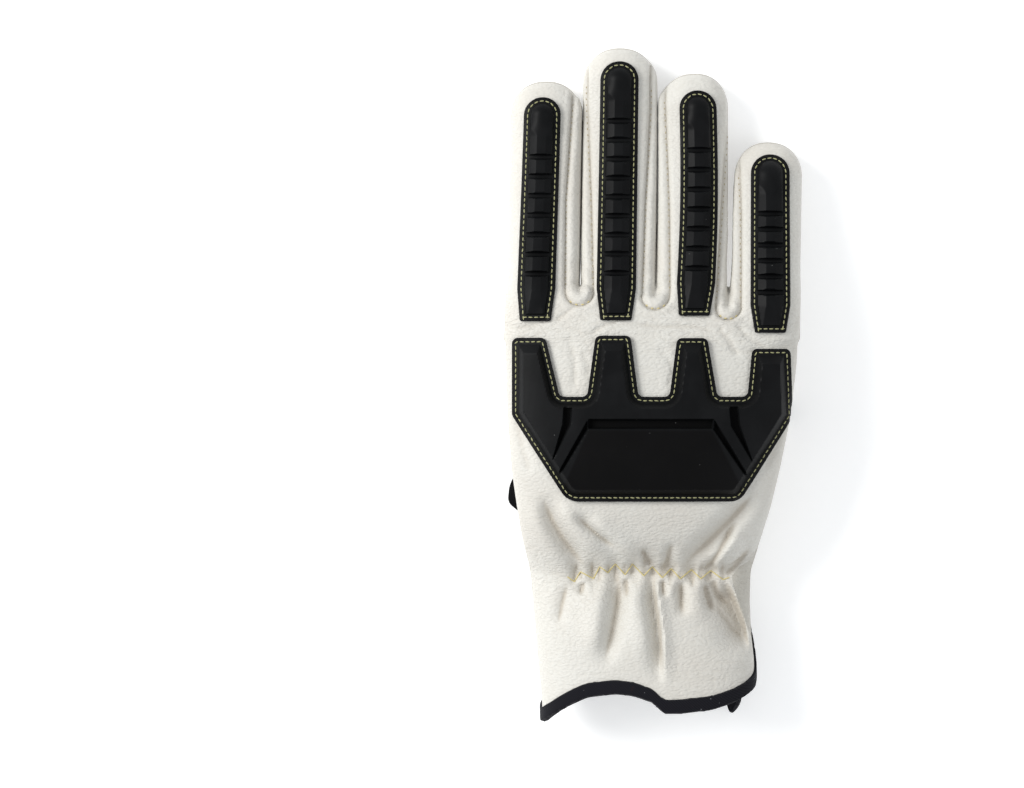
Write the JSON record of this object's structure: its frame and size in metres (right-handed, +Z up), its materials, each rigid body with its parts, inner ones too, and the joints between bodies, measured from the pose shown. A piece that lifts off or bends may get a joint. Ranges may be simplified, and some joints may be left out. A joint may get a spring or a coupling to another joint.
{
  "type": "leather impact glove",
  "caption": "Right-hand driver-style leather work glove with moulded rubber guards on the back, fingers and thumb, a gathered elastic wrist and a taped hem.",
  "frame": {"origin": "on the surface the glove lies on, under the middle of the whole glove", "axes": "+Y towards the fingertips, +X towards the little finger, +Z up out of the back of the hand"},
  "size_m": [0.1128, 0.2562, 0.0514],
  "materials": {
    "back_leather": "fine pebbled grain, satin",
    "palm_leather": "fine pebbled grain, satin, slightly darker",
    "guard_rubber": "moulded, satin",
    "binding_tape": "fine woven tape, matt",
    "guard_thread": "pale yellow-green sewing thread",
    "elastic_thread": "yellow zigzag thread",
    "leather_thread": "off-white sewing thread"
  },
  "bodies": {
    "root": {"back_panel": "back_leather", "palm_panel": "palm_leather", "middle_finger_front": "palm_leather", "ring_finger_front": "palm_leather", "thumb_leather": "palm_leather", "fork_index_middle": "back_leather", "fork_middle_ring": "back_leather", "fork_ring_little": "back_leather", "index_guard": "guard_rubber", "middle_guard": "guard_rubber", "ring_guard": "guard_rubber", "little_guard": "guard_rubber", "knuckle_guard": "guard_rubber", "thumb_guard": "guard_rubber", "cuff_binding": "binding_tape"}
  },
  "joints": []
}
